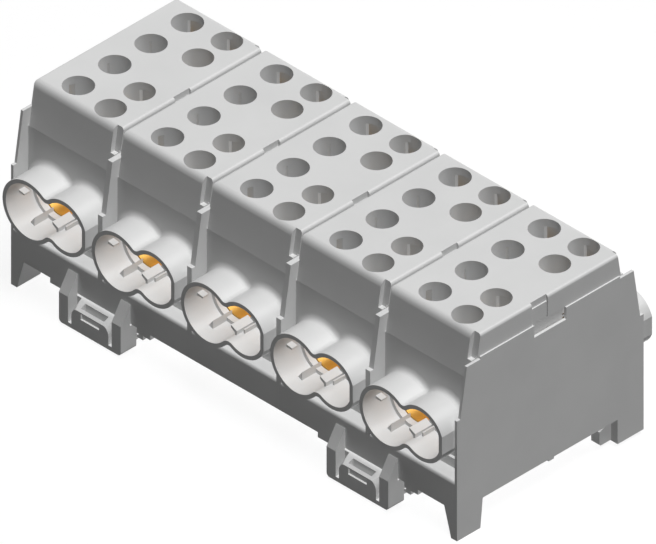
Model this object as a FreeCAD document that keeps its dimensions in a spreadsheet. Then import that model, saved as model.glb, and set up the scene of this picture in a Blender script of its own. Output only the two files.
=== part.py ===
"""Five pole power distribution block for a 35 mm rail, in millimetres.

Each pole is a moulded case with a snap-in cap. The case holds a brass clamp block with two
bores that run from front to back, a large one for the main conductor and a small one for the
branch conductors. Clamp screws press down into both bores, and are reached through the round
holes of the cap. Funnels on the front and the back lead the conductors in. Two latches slide
under the front edge and grip the rail against the fixed hooks of the end poles.

X runs along the row of poles, Y from the front to the back and Z up. The origin is on the
plane of the feet, under the middle of the row and of the case's depth.
"""
import FreeCAD, Part
import os

import Sketcher

# Labels of the poles, left to right, and of the screws in each row, front to back
POLES = ("1", "2", "3", "4", "5")
SCREWS = ("1", "2", "3", "4")

# Every driving size: its name, its value, or the sizes that it follows from, and its meaning
SIZES = [
    ("pole_pitch", 27.0, "width of one pole, side plane to side plane"),
    ("case_depth", 56.5, "front edge to back edge of a side wall"),
    ("case_height", 50.5, "feet to the top of the caps"),
    ("base_z", 7.6, "feet to the underside of the case, where the rail lies"),
    ("side_wall", 0.7, "thickness of a side wall"),
    ("ledge_z", 15.0, "top of the closed base, a ledge under the funnels"),
    ("ledge_round", 0.7, "rounding of the ledge's edge"),
    ("fin_step", 1.05, "small step back at that height"),
    ("fin_lean", 1.95, "how far the edge leans back from there to its top"),
    ("fin_run", 7.1, "front edge to where the wall reaches its full height"),
    ("cap_rise", 5.7, "top of the side walls to the top of the caps"),
    ("wall_top_z", "=case_height - cap_rise", "top of the side walls, where the cap rests"),
    ("fin_drop", 0.6, "top of the side walls down to the top of the leaning edge"),
    ("fin_top_z", "=wall_top_z - fin_drop", "top of the leaning edge"),
    ("fin_slope", 12.8, "height of the leaning edge"),
    ("fin_nose_z", "=fin_top_z - fin_slope", "top of a side wall's upright front edge"),
    ("panel_set", 4.55, "front edge of a side wall back to the front panel"),
    ("panel_wall", 1.5, "thickness of the front and back panels"),
    ("skirt_drop", 5.1, "top of the side walls down to the foot of the cap's skirts"),
    ("panel_top_z", "=wall_top_z - skirt_drop", "top of the panels, where the skirt begins"),
    ("plinth_set", 3.85, "front edge back to the low plinth under the panel"),
    ("plinth_top_z", 17.4, "top of that plinth"),
    ("main_offset", 4.83, "middle of a pole to the main bore, to the left"),
    ("main_z", 25.0, "height of the main bore"),
    ("main_funnel_r", 7.7, "outer radius of the main funnel"),
    ("main_throat_r", 5.75, "radius of the hole behind the main funnel"),
    ("main_bore_r", 5.4, "radius of the main bore"),
    ("branch_offset", 6.02, "middle of a pole to the branch bore, to the right"),
    ("branch_z", 26.2, "height of the branch bore"),
    ("branch_funnel_r", 6.88, "outer radius of the branch funnel"),
    ("branch_throat_r", 4.7, "radius of the hole behind the branch funnel"),
    ("branch_bore_r", 4.0, "radius of the branch bore"),
    ("branch_flat_gap", 1.0, "side plane to the flat on the branch funnel"),
    ("funnel_wall", 1.0, "wall of the funnels"),
    ("funnel_reach", 8.1, "panel to the funnel's rim"),
    ("funnel_floor", 0.1, "how far the throat wall stands out of the panel"),
    ("waist_round", 1.3, "rounding between the two funnels, outside"),
    ("root_bevel", 0.7, "bevel where the funnels meet the panel"),
    ("rib_width", 1.3, "width of the guide rib in the main funnel"),
    ("rib_height", 2.4, "height of the guide rib"),
    ("rib_offset", 1.77, "main bore's axis to the rib's upright side, to the left"),
    ("rib_set", 3.75, "rim to the front of the rib"),
    ("stop_size", 1.7, "length and reach of the small stop on the funnel's side"),
    ("stop_height", 0.9, "height of the stop at its root"),
    ("stop_slope", 0.5, "how far its top falls towards its tip"),
    ("stop_lift", 0.7, "main bore's axis up to the top of the stop's root"),
    ("stop_set", 3.95, "rim to the front of the stop"),
    ("wedge_left", 0.36, "middle of a pole to the wedge's left side"),
    ("wedge_right", 1.45, "middle of a pole to the wedge's right side"),
    ("wedge_high_z", 23.25, "top of the wedge at its left side"),
    ("wedge_low_z", 22.4, "top of the wedge at its right side"),
    ("wedge_plate", 0.65, "thickness of the wedge's sloping plate"),
    ("wedge_foot", 0.6, "width of the foot under the wedge's right side"),
    ("wedge_set", 2.95, "rim to the front of the wedge"),
    ("blade_gap", 0.5, "wedge's right side to the thin blade beside it"),
    ("blade_width", 0.4, "thickness of that blade"),
    ("blade_z", 22.4, "top of that blade"),
    ("blade_set", 4.5, "rim to the front of that blade"),
    ("seat_rib", 2.0, "height and width of the ribs that carry the clamp block"),
    ("seat_spread", 24.0, "distance between those two ribs"),
    ("block_gap", 0.5, "clearance beside the clamp block"),
    ("block_end_gap", 0.1, "clearance in front of and behind the clamp block"),
    ("block_height", 20.5, "height of the clamp block"),
    ("block_bevel", 0.8, "bevel along the clamp block's edges"),
    ("main_screw_r", 4.0, "radius of a main clamp screw"),
    ("branch_screw_r", 3.0, "radius of a branch clamp screw"),
    ("thread_gap", 0.05, "radial clearance of a screw in its thread"),
    ("block_length", "=case_depth - 2 * (panel_set + panel_wall + block_end_gap)",
     "length of the clamp block"),
    ("main_screw_end", 5.6, "end of the clamp block to the nearest main screw"),
    ("main_screw_pitch", "=(block_length - 2 * main_screw_end) / 3",
     "distance between neighbouring main screws"),
    ("branch_screw_end", 4.5, "end of the clamp block to the nearest branch screw"),
    ("branch_screw_pitch", 8.75, "distance between the screws of one branch"),
    ("branch_screw_span", "=block_length - 2 * (branch_screw_end + branch_screw_pitch)",
     "distance between the two inner branch screws"),
    ("screw_lift", 0.3, "gap from the open screw's tip to the bore's crown"),
    ("screw_tip", 1.2, "height of the cone at the screw's tip"),
    ("screw_bevel", 0.4, "bevel at the screw's head"),
    ("main_slot", 1.6, "width of the main screw's slot"),
    ("branch_slot", 1.2, "width of the branch screw's crossed slots"),
    ("slot_depth", 1.9, "depth of the slots"),
    ("cross_share", 0.7, "length of the branch screw's second slot over its diameter"),
    ("cap_plate", 2.0, "thickness of the cap's top"),
    ("cap_inset", 0.35, "side plane to the cap's upper side"),
    ("cap_seat_set", 0.95, "side plane to the cap's lower side, inside the case"),
    ("cap_wall", 1.0, "thickness of the cap's lower sides"),
    ("cap_lap", 2.0, "how far the cap's sides reach into the case"),
    ("cap_skirt", 1.2, "thickness of the cap's front and back skirts"),
    ("cap_lean", 9.3, "lean of the skirts from upright, in degrees"),
    ("cap_end_round", 1.3, "rounding of the cap's front and back top edges"),
    ("cap_side_round", 0.8, "rounding of the cap's side top edges"),
    ("rebate_width", 1.8, "width of the rebate at the cap's right corners"),
    ("rebate_depth", 1.2, "depth of that rebate"),
    ("window_length", 9.7, "length of the snap window in the right wall"),
    ("window_drop", 3.1, "wall's top to the window's foot"),
    ("tab_gap", 0.25, "clearance of the cap's tab in the window's length"),
    ("tab_lap", 1.0, "how far the tab reaches below the window's foot"),
    ("notch_length", 4.8, "length of the notch over the window"),
    ("notch_shift", 2.8, "middle of the case to the notch's middle, to the front"),
    ("notch_step_drop", 1.7, "top of the cap to the small step in the notch"),
    ("notch_step", 0.3, "width of that step"),
    ("main_access_r", 3.6, "radius of the holes over the main screws"),
    ("branch_access_r", 3.5, "radius of the holes over the branch screws"),
    ("sleeve_wall", 0.7, "wall of the sleeves under the cap's holes"),
    ("sleeve_drop", 3.9, "length of the sleeves below the cap's top plate"),
    ("sleeve_slot", 1.3, "width of the slot in the left side of the front main sleeve"),
    ("sleeve_slit", 0.45, "width of the slits in the left side of the main sleeves"),
    ("sleeve_opening", 3.4, "width of the openings in the back of three sleeves"),
    ("cap_web", 0.8, "thickness of the cross webs inside the cap"),
    ("sleeve_gap", 0.4, "sleeve to the head of the open screw"),
    ("pocket_wall", 1.6, "walls between the pockets under the base"),
    ("pocket_roof", 1.6, "thickness left over the pockets"),
    ("pad_width", 1.6, "width of the rib that the rail's middle lies on"),
    ("pad_drop", 0.5, "height of that rib"),
    ("pad_shift", 0.3, "middle of the case to the rib's middle, to the back"),
    ("foot_depth", 7.1, "depth of a front foot at its sole"),
    ("foot_flare", 0.7, "how far its back leans out up to the case"),
    ("foot_root", 3.9, "width of a foot where it leaves the case"),
    ("foot_tip", 1.8, "width of a foot at its sole"),
    ("leg_depth", 7.9, "depth of a back leg"),
    ("leg_z", 1.2, "height of the back leg's end over the feet"),
    ("leg_width", 4.5, "width of a back leg"),
    ("hook_set", 2.0, "side plane to the fixed hook"),
    ("hook_reach", 3.5, "reach of the hooks under the rail"),
    ("hook_tip_z", 5.0, "top of the hook at its tip"),
    ("hook_root_z", 5.9, "top of the hook at its root"),
    ("hook_lead", 2.3, "length of the hook's slanted top"),
    ("hook_low_z", 1.4, "underside of the hooks"),
    ("hook_bevel", 0.35, "bevel under the hook's tip"),
    ("rail_width", 35.0, "width of the rail"),
    ("rail_gap", 0.3, "rail's front edge to the latch's stop"),
    ("latch_grip", 2.0, "how far the latch's tooth reaches under the rail"),
    ("latch_width", 18.7, "width of a latch"),
    ("latch_set", 3.15, "front edge of the case to the latch's front"),
    ("latch_low_z", 0.7, "underside of the latch"),
    ("latch_gap", 0.3, "clearance round the latch"),
    ("latch_tail", 1.6, "how far its full width reaches under the case"),
    ("cheek_width", 2.75, "width of the latch's cheeks"),
    ("cheek_z", 8.4, "top of the cheeks at the front"),
    ("cheek_rise", 4.6, "how much higher they are at the case"),
    ("tongue_gap", 1.0, "slit between tongue and cheek"),
    ("tongue_z", 6.15, "top of the tongue at the front"),
    ("tongue_rise", 2.1, "how much higher it is at the case"),
    ("tongue_round", 1.7, "rounding of the tongue's shoulders"),
    ("latch_bar", 1.1, "height of the bar under the slits"),
    ("latch_round", 0.9, "rounding of the latch's lower corners"),
    ("lever_length", 7.0, "length of the screwdriver slot in the tongue"),
    ("lever_width", 1.1, "width of that slot"),
    ("lever_depth", 2.6, "depth of that slot"),
    ("grip_length", 5.6, "length of the recess in the tongue's front"),
    ("grip_height", 1.5, "height of that recess"),
    ("grip_depth", 0.5, "depth of that recess"),
    ("grip_z", 4.3, "foot of that recess"),
    ("wing_z", 4.3, "underside of the latch's wings"),
    ("keel_width", 15.8, "width of the latch between the wings"),
    ("tooth_width", 12.0, "width of the latch's tooth"),
    ("guide_length", 10.0, "length of the guides under the case"),
    ("guide_wall", 1.4, "thickness of a guide's upright"),
    ("guide_lip", 1.4, "reach of its lip under the wing"),
    ("guide_lip_height", 0.7, "height of that lip"),
    ("skirt_pad", 4.1, "width of the low pad beside a latch"),
    ("skirt_pad_drop", 1.3, "height of that pad"),
    ("skirt_pad_depth", 1.6, "depth of that pad"),
]

doc = FreeCAD.newDocument("power_distribution_block")
sheet = doc.addObject("Spreadsheet::Sheet", "dim")


def fill_sheet():
    """Write every driving size to the sheet, with its name and its meaning."""
    for row, (alias, value, meaning) in enumerate(SIZES, start=1):
        sheet.set(f"A{row}", alias)
        sheet.set(f"B{row}", str(value))
        sheet.setAlias(f"B{row}", alias)
        sheet.set(f"C{row}", meaning)
    doc.recompute()


def size(alias):
    """Return a driving size as a number."""
    return float(sheet.get(alias))


def bind(obj, path, expression):
    """Bind a property to an expression in which every @name is a size of the sheet."""
    obj.setExpression(path, expression.replace("@", "dim."))


def box(name, low, high):
    """Make a block between two corners, each given as three expressions."""
    obj = doc.addObject("Part::Box", name)
    for axis, side, start, end in zip("xyz", ("Length", "Width", "Height"), low, high):
        bind(obj, f"Placement.Base.{axis}", start)
        bind(obj, side, f"({end}) - ({start})")
    return obj


def rod(name, radius, base, length, along="y"):
    """Make a round bar that starts at base and runs along +Y or +Z."""
    obj = doc.addObject("Part::Cylinder", name)
    if along == "y":
        obj.Placement.Rotation = FreeCAD.Rotation(FreeCAD.Vector(1, 0, 0), -90)
    for axis, start in zip("xyz", base):
        bind(obj, f"Placement.Base.{axis}", start)
    bind(obj, "Radius", radius)
    bind(obj, "Height", length)
    return obj


def outline(name, points, rotation):
    """Draw a closed outline whose every corner is tied to the sheet."""
    sketch = doc.addObject("Sketcher::SketchObject", name)
    sketch.Placement.Rotation = rotation
    corners = [[evaluate(value) for value in point] for point in points]
    count = len(points)
    for index, (first, second) in enumerate(corners):
        after = corners[(index + 1) % count]
        sketch.addGeometry(
            Part.LineSegment(FreeCAD.Vector(first, second, 0), FreeCAD.Vector(*after, 0))
        )
    for index in range(count):
        sketch.addConstraint(Sketcher.Constraint("Coincident", index, 2, (index + 1) % count, 1))
    for index, point in enumerate(points):
        for kind, value, expression in zip(("DistanceX", "DistanceY"), corners[index], point):
            number = sketch.addConstraint(Sketcher.Constraint(kind, -1, 1, index, 1, value))
            bind(sketch, f"Constraints[{number}]", expression)
    return sketch


def evaluate(expression):
    """Return the value of an expression in the sheet's names."""
    return float(sheet.evalExpression(expression.replace("@", "dim.")))


def prism_along_x(name, points, start, length):
    """Extrude an outline of (y, z) corners along +X."""
    sketch = outline(f"{name}_outline", points, FreeCAD.Rotation(FreeCAD.Vector(1, 1, 1), 120))
    return extrude(name, sketch, (start, "0", "0"), length)


def prism_along_y(name, points, end, length):
    """Extrude an outline of (x, z) corners towards -Y, from its back end."""
    sketch = outline(f"{name}_outline", points, FreeCAD.Rotation(FreeCAD.Vector(1, 0, 0), 90))
    return extrude(name, sketch, ("0", end, "0"), length)


def extrude(name, sketch, base, length):
    """Extrude a sketch along its normal."""
    obj = doc.addObject("Part::Extrusion", name)
    obj.Base = sketch
    obj.DirMode = "Normal"
    obj.Solid = True
    bind(obj, "LengthFwd", length)
    for axis, start in zip("xyz", base):
        bind(obj, f"Placement.Base.{axis}", start)
    return obj


def turn(name, points):
    """Revolve an outline of (radius, z) corners round Z."""
    sketch = outline(f"{name}_outline", points, FreeCAD.Rotation(FreeCAD.Vector(1, 0, 0), 90))
    obj = doc.addObject("Part::Revolution", name)
    obj.Source = sketch
    obj.Axis = FreeCAD.Vector(0, 0, 1)
    obj.Angle = 360
    obj.Solid = True
    return obj


def fuse(name, *pieces):
    """Join pieces to one solid."""
    obj = doc.addObject("Part::MultiFuse", name)
    obj.Shapes = list(pieces)
    obj.Refine = True
    return obj


def cut(name, base, *tools):
    """Cut one or more tools out of a base."""
    obj = doc.addObject("Part::Cut", name)
    obj.Base = base
    obj.Tool = tools[0] if len(tools) == 1 else fuse(f"{name}_tools", *tools)
    obj.Refine = True
    return obj


def common(name, first, second):
    """Keep what two pieces share."""
    obj = doc.addObject("Part::Common", name)
    obj.Base = first
    obj.Tool = second
    return obj


def mirror(name, source, normal):
    """Mirror a piece on a plane through the origin."""
    obj = doc.addObject("Part::Mirroring", name)
    obj.Source = source
    obj.Normal = FreeCAD.Vector(*normal)
    return obj


def on_edges(kind, name, base, radius, wanted):
    """Round or bevel the edges of a base that the test called wanted picks."""
    doc.recompute()
    obj = doc.addObject(kind, name)
    obj.Base = base
    width = size(radius)
    obj.Edges = [
        (number, width, width)
        for number, edge in enumerate(base.Shape.Edges, start=1)
        if wanted(edge)
    ]
    return obj


def close(first, second):
    """Say whether two lengths agree."""
    return abs(first - second) < 1e-4


def middle(edge):
    """Return the point halfway along an edge."""
    return edge.valueAt((edge.FirstParameter + edge.LastParameter) / 2)


def ends(edge):
    """Return the end points of an edge."""
    return [vertex.Point for vertex in edge.Vertexes]


def runs_along(edge, axis):
    """Say whether an edge is straight and runs along an axis, given as x, y or z."""
    first, *rest = [middle(edge), *ends(edge)]
    others = [side for side in "xyz" if side != axis]
    return all(
        close(getattr(point, side), getattr(first, side)) for point in rest for side in others
    )


# Expressions that several pieces share, measured from the middle of a pole
HALF_PITCH = "@pole_pitch / 2"
HALF_DEPTH = "@case_depth / 2"
FRONT = "-@case_depth / 2"
PANEL_Y = f"({FRONT} + @panel_set)"
CAVITY_HALF = f"({HALF_DEPTH} - @panel_set - @panel_wall)"
RIM_Y = f"({PANEL_Y} - @funnel_reach)"
MAIN_X = "-@main_offset"
BRANCH_X = "@branch_offset"
INNER_HALF = f"({HALF_PITCH} - @side_wall)"
CAP_UNDER_Z = "(@case_height - @cap_plate)"
SLEEVE_Z = f"({CAP_UNDER_Z} - @sleeve_drop)"
SCREW_TOP_Z = f"({SLEEVE_Z} - @sleeve_gap)"
BLOCK_Z = "(@ledge_z + @seat_rib)"
CAP_TOP_SET = "(@panel_set + (@case_height - @panel_top_z) * tan(@cap_lean * 1 deg))"


def waist_centre(side):
    """Work out the centre of the rounding over or under the waist between the two funnels.

    The rounding's circle touches both funnels from outside, so its centre lies one rounding
    radius beyond each. Side is 1 for the upper waist and -1 for the lower one.
    """
    span_x = f"({BRANCH_X} - ({MAIN_X}))"
    span_z = "(@branch_z - @main_z)"
    span = f"sqrt({span_x} ^ 2 + {span_z} ^ 2)"
    to_main = "(@main_funnel_r + @waist_round)"
    to_branch = "(@branch_funnel_r + @waist_round)"
    along = f"(({to_main} ^ 2 - {to_branch} ^ 2 + {span} ^ 2) / (2 * {span}))"
    aside = f"({side} * sqrt({to_main} ^ 2 - {along} ^ 2))"
    x = f"({MAIN_X} + ({along} * {span_x} - {aside} * {span_z}) / {span})"
    z = f"(@main_z + ({along} * {span_z} + {aside} * {span_x}) / {span})"
    return x, z


def funnel_pair(name, shrink, start, end):
    """Make the joined form of both funnels, shrunk by a wall, from start to end along Y."""
    length = f"({end}) - ({start})"
    main = rod(f"{name}_main", f"@main_funnel_r - {shrink}", (MAIN_X, start, "@main_z"), length)
    branch = rod(
        f"{name}_branch", f"@branch_funnel_r - {shrink}", (BRANCH_X, start, "@branch_z"), length
    )
    fillings = []
    for side, word in ((1, "over"), (-1, "under")):
        x, z = waist_centre(side)
        corner = prism_along_y(
            f"{name}_corner_{word}",
            [(MAIN_X, "@main_z"), (BRANCH_X, "@branch_z"), (x, z)],
            end,
            length,
        )
        rounding = rod(
            f"{name}_rounding_{word}",
            f"@waist_round + {shrink}",
            (x, f"{start} - 1", z),
            f"{length} + 2",
        )
        fillings.append(cut(f"{name}_waist_{word}", corner, rounding))
    return fuse(name, main, branch, *fillings)


def beyond_flat(name, shrink, start, end):
    """Make the cutter that gives the branch funnel its flat beside the next pole."""
    return box(
        name,
        (f"{HALF_PITCH} - @branch_flat_gap - {shrink}", start, "@ledge_z"),
        ("@pole_pitch", end, "@case_height"),
    )


def make_fronts():
    """Make the front and back panels with the funnels that run out of them.

    The panels start wider than the pole, so that the bevel at the funnels' root has its room, and
    are then cut to the pole's width with the funnels' flats.
    """
    wide = f"({HALF_PITCH} + @root_bevel)"
    panels = [
        box(f"panel_{side}", (f"-{wide}", low, "@ledge_z"), (wide, high, "@panel_top_z"))
        for side, low, high in (
            ("front", PANEL_Y, f"-{CAVITY_HALF}"),
            ("back", CAVITY_HALF, f"-{PANEL_Y}"),
        )
    ]
    tubes = funnel_pair("funnels", "0", RIM_Y, f"-{RIM_Y}")
    joined = fuse("panels_with_funnels", tubes, *panels)
    panel_y = evaluate(PANEL_Y)
    half_width = size("pole_pitch") / 2

    def at_root(edge):
        spot = middle(edge)
        in_panel = all(close(abs(point.y), abs(panel_y)) for point in (spot, *ends(edge)))
        inside = abs(spot.x) < half_width - 0.01
        return in_panel and inside and size("ledge_z") < spot.z < size("panel_top_z") - 0.01

    rooted = on_edges("Part::Chamfer", "fronts_rooted", joined, "root_bevel", at_root)
    beyond = [
        beyond_flat("flat_front", "0", RIM_Y, PANEL_Y),
        beyond_flat("flat_back", "0", f"-{PANEL_Y}", f"-{RIM_Y}"),
        box(
            "beyond_left",
            ("-@pole_pitch", FRONT, "@ledge_z"),
            (f"-{HALF_PITCH}", HALF_DEPTH, "@case_height"),
        ),
        box(
            "beyond_right",
            (HALF_PITCH, FRONT, "@ledge_z"),
            ("@pole_pitch", HALF_DEPTH, "@case_height"),
        ),
    ]
    return cut("fronts", rooted, *beyond)


def make_side_walls():
    """Make both side walls of a pole, with their stepped and leaning front and back edges."""
    front = [
        (FRONT, "@base_z"),
        (FRONT, "@fin_nose_z"),
        (f"{FRONT} + @fin_step", "@fin_nose_z"),
        (f"{FRONT} + @fin_step + @fin_lean", "@fin_top_z"),
        (f"{FRONT} + @fin_run", "@fin_top_z"),
        (f"{FRONT} + @fin_run", "@wall_top_z"),
    ]
    back = [(f"-({along})", up) for along, up in reversed(front)]
    left = prism_along_x("wall_left", front + back, f"-{HALF_PITCH}", "@side_wall")
    right = prism_along_x("wall_right", front + back, INNER_HALF, "@side_wall")
    return left, right


def make_base():
    """Make the closed base with its rounded ledges, and the low plinths under the panels."""
    block = box(
        "base_block", (f"-{HALF_PITCH}", FRONT, "@base_z"), (HALF_PITCH, HALF_DEPTH, "@ledge_z")
    )
    ledge_z = size("ledge_z")
    rounded = on_edges(
        "Part::Fillet",
        "base",
        block,
        "ledge_round",
        lambda edge: runs_along(edge, "x") and close(middle(edge).z, ledge_z),
    )
    plinth_y = f"({HALF_DEPTH} - @plinth_set)"
    plinth = box(
        "plinth",
        (f"-{HALF_PITCH}", f"-{plinth_y}", "@ledge_z - @ledge_round"),
        (HALF_PITCH, plinth_y, "@plinth_top_z"),
    )
    return rounded, plinth


def make_pockets():
    """Make the pockets that hollow the base from below, two across and four deep."""
    across = "((@pole_pitch - 3 * @pocket_wall) / 2)"
    deep = "((@case_depth - 5 * @pocket_wall) / 4)"
    pockets = []
    for column in range(2):
        for row in range(4):
            low_x = f"(-{HALF_PITCH} + @pocket_wall + {column} * ({across} + @pocket_wall))"
            low_y = f"({FRONT} + @pocket_wall + {row} * ({deep} + @pocket_wall))"
            pockets.append(
                box(
                    f"pocket_{column}_{row}",
                    (low_x, low_y, "0"),
                    (f"{low_x} + {across}", f"{low_y} + {deep}", "@ledge_z - @pocket_roof"),
                )
            )
    return pockets


def make_guides_in_funnels():
    """Make the rib, the stop, the wedge and the thin blade that stand inside the front funnels.

    Each runs down into the funnels' wall, and is trimmed to the middle of that wall.
    """
    rib_x = f"({MAIN_X} - @rib_offset)"
    floor_z = "(@main_z - @main_funnel_r + @funnel_wall)"
    rib = prism_along_y(
        "rib",
        [
            (f"{rib_x} - @rib_width", f"{floor_z} - @funnel_wall"),
            (rib_x, f"{floor_z} - @funnel_wall"),
            (rib_x, f"{floor_z} + @rib_height"),
            (f"{rib_x} - @rib_width", f"{floor_z} + @rib_height / 4"),
        ],
        f"-{CAVITY_HALF}",
        f"-{CAVITY_HALF} - ({RIM_Y}) - @rib_set",
    )
    stop_x = f"({MAIN_X} - @main_funnel_r + @funnel_wall)"
    stop_top = "(@main_z + @stop_lift)"
    stop = prism_along_y(
        "stop",
        [
            (f"{stop_x} - @funnel_wall", f"{stop_top} - @stop_height"),
            (f"{stop_x} + @stop_size", f"{stop_top} - @stop_height"),
            (f"{stop_x} + @stop_size", f"{stop_top} - @stop_slope"),
            (f"{stop_x} - @funnel_wall", stop_top),
        ],
        f"{RIM_Y} + @stop_set + @stop_size",
        "@stop_size",
    )
    root_z = "(@branch_z - @branch_funnel_r)"
    foot_x = "(@wedge_right - @wedge_foot)"
    wedge = prism_along_y(
        "wedge",
        [
            (foot_x, root_z),
            ("@wedge_right", root_z),
            ("@wedge_right", "@wedge_low_z"),
            ("-@wedge_left", "@wedge_high_z"),
            ("-@wedge_left", "@wedge_high_z - @wedge_plate"),
            (foot_x, "@wedge_low_z - @wedge_plate"),
        ],
        f"{PANEL_Y}",
        f"{PANEL_Y} - ({RIM_Y}) - @wedge_set",
    )
    blade = box(
        "blade",
        ("@wedge_right + @blade_gap", f"{RIM_Y} + @blade_set", root_z),
        ("@wedge_right + @blade_gap + @blade_width", PANEL_Y, "@blade_z"),
    )
    inside = funnel_pair("guides_inside", "@funnel_wall / 2", RIM_Y, f"-{CAVITY_HALF}")
    return common("guides", fuse("guides_blank", rib, stop, wedge, blade), inside)


def make_case():
    """Make the case of a pole, with all that every pole's case has."""
    walls = make_side_walls()
    solid = fuse("case_solid", make_fronts(), *walls, *make_base())
    cavity = box(
        "cavity",
        (f"-{INNER_HALF}", f"-{CAVITY_HALF}", "@ledge_z"),
        (INNER_HALF, CAVITY_HALF, "@case_height"),
    )
    throat_y = f"({PANEL_Y} - @funnel_floor)"
    outside = f"({RIM_Y} - 1)"
    hollow_front = cut(
        "hollow_front_flat",
        funnel_pair("hollow_front", "@funnel_wall", outside, throat_y),
        beyond_flat("beyond_front", "@funnel_wall", outside, throat_y),
    )
    hollow_back = cut(
        "hollow_back_flat",
        funnel_pair("hollow_back", "@funnel_wall", f"-{throat_y}", f"-{outside}"),
        beyond_flat("beyond_back", "@funnel_wall", f"-{throat_y}", f"-{outside}"),
    )
    through = f"-2 * {outside}"
    throat_main = rod("throat_main", "@main_throat_r", (MAIN_X, outside, "@main_z"), through)
    throat_branch = rod(
        "throat_branch", "@branch_throat_r", (BRANCH_X, outside, "@branch_z"), through
    )
    window = box(
        "window",
        (INNER_HALF, "-@window_length / 2", "@wall_top_z - @window_drop"),
        ("@pole_pitch", "@window_length / 2", "@case_height"),
    )
    open_case = cut(
        "case_open",
        solid,
        cavity,
        hollow_front,
        hollow_back,
        throat_main,
        throat_branch,
        window,
        *make_pockets(),
    )
    guides = make_guides_in_funnels()
    guides_back = mirror("guides_back", guides, (0, 1, 0))
    seats = [
        box(
            f"seat_{side}",
            (f"-{INNER_HALF}", f"{middle} - @seat_rib / 2", "@ledge_z"),
            (INNER_HALF, f"{middle} + @seat_rib / 2", BLOCK_Z),
        )
        for side, middle in (("front", "-@seat_spread / 2"), ("back", "@seat_spread / 2"))
    ]
    pad = box(
        "rail_pad",
        (f"-{HALF_PITCH}", "@pad_shift - @pad_width / 2", "@base_z - @pad_drop"),
        (HALF_PITCH, "@pad_shift + @pad_width / 2", "@base_z"),
    )
    return fuse("case", open_case, guides, guides_back, *seats, pad)


def make_end_supports():
    """Make the front foot, the back leg and the fixed rail hook of the right end pole."""
    side = prism_along_x(
        "foot_side",
        [
            (FRONT, "0"),
            (f"{FRONT} + @foot_depth", "0"),
            (f"{FRONT} + @foot_depth + @foot_flare", "@base_z"),
            (FRONT, "@base_z"),
        ],
        "0",
        "@pole_pitch",
    )
    front = prism_along_y(
        "foot_front",
        [
            (HALF_PITCH, "0"),
            (HALF_PITCH, "@base_z"),
            (f"{HALF_PITCH} - @foot_root", "@base_z"),
            (f"{HALF_PITCH} - @foot_tip", "0"),
        ],
        "0",
        "@case_depth",
    )
    foot = common("foot", side, front)
    leg_y = f"({HALF_DEPTH} - @leg_depth)"
    leg = box(
        "leg", (f"{HALF_PITCH} - @leg_width", leg_y, "@leg_z"), (HALF_PITCH, HALF_DEPTH, "@base_z")
    )
    hook = prism_along_x(
        "hook",
        [
            (leg_y, "@hook_low_z"),
            (leg_y, "@hook_root_z"),
            (f"{leg_y} - @hook_reach + @hook_lead", "@hook_root_z"),
            (f"{leg_y} - @hook_reach", "@hook_tip_z"),
            (f"{leg_y} - @hook_reach", "@hook_low_z + @hook_bevel"),
            (f"{leg_y} - @hook_reach + @hook_bevel", "@hook_low_z"),
        ],
        f"{HALF_PITCH} - @leg_width",
        "@leg_width - @hook_set",
    )
    return fuse("end_supports", foot, leg, hook)


def make_latch_guides():
    """Make the guide and the low pad beside a latch on the pole's right boundary."""
    wing = "(@latch_width / 2 + @latch_gap)"
    lip_top = "(@wing_z - @latch_gap)"
    inner = f"({HALF_PITCH} - {wing})"
    outer = f"({inner} - @guide_wall)"
    guide_front = f"({FRONT} + @latch_tail + @latch_gap)"
    roof_z = "(@ledge_z - @pocket_roof / 2)"
    rail = prism_along_y(
        "guide",
        [
            (outer, roof_z),
            (outer, f"{lip_top} - @guide_lip_height"),
            (f"{inner} + @guide_lip", f"{lip_top} - @guide_lip_height"),
            (f"{inner} + @guide_lip", lip_top),
            (inner, lip_top),
            (inner, roof_z),
        ],
        f"{guide_front} + @guide_length",
        "@guide_length",
    )
    pad = box(
        "skirt_pad_block",
        (f"{outer} - @skirt_pad", FRONT, "@base_z - @skirt_pad_drop"),
        (outer, f"{FRONT} + @skirt_pad_depth", "@base_z"),
    )
    return fuse("latch_guides", rail, pad)


def make_clamp_block():
    """Make the brass block with its two bores and the threaded holes over them."""
    half_width = f"({INNER_HALF} - @block_gap)"
    half_length = "@block_length / 2"
    blank = box(
        "clamp_blank",
        (f"-{half_width}", f"-{half_length}", BLOCK_Z),
        (half_width, half_length, f"{BLOCK_Z} + @block_height"),
    )
    bevelled = on_edges(
        "Part::Chamfer", "clamp_bevelled", blank, "block_bevel", lambda edge: runs_along(edge, "y")
    )
    start = f"-{half_length}"
    through = "@block_length"
    main = rod("main_bore", "@main_bore_r", (MAIN_X, start, "@main_z"), through)
    branch = rod("branch_bore", "@branch_bore_r", (BRANCH_X, start, "@branch_z"), through)
    holes = []
    for number in SCREWS:
        for row, x, y, z in (
            ("main", MAIN_X, main_screw_y(number), "@main_z"),
            ("branch", BRANCH_X, branch_screw_y(number), "@branch_z"),
        ):
            holes.append(
                rod(
                    f"{row}_thread_{number}",
                    f"@{row}_screw_r + @thread_gap",
                    (x, y, z),
                    f"@case_height - ({z})",
                    "z",
                )
            )
    return cut("clamp_block", bevelled, main, branch, *holes)


def main_screw_y(number):
    """Place one of the four main screws along the pole, the first at the front."""
    return f"({number} - 2.5) * @main_screw_pitch"


def branch_screw_y(number):
    """Place one of the four branch screws, two at the front and two at the back."""
    side = "-" if number in "12" else ""
    outer = " + @branch_screw_pitch" if number in "14" else ""
    return f"{side}(@branch_screw_span / 2{outer})"


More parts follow.
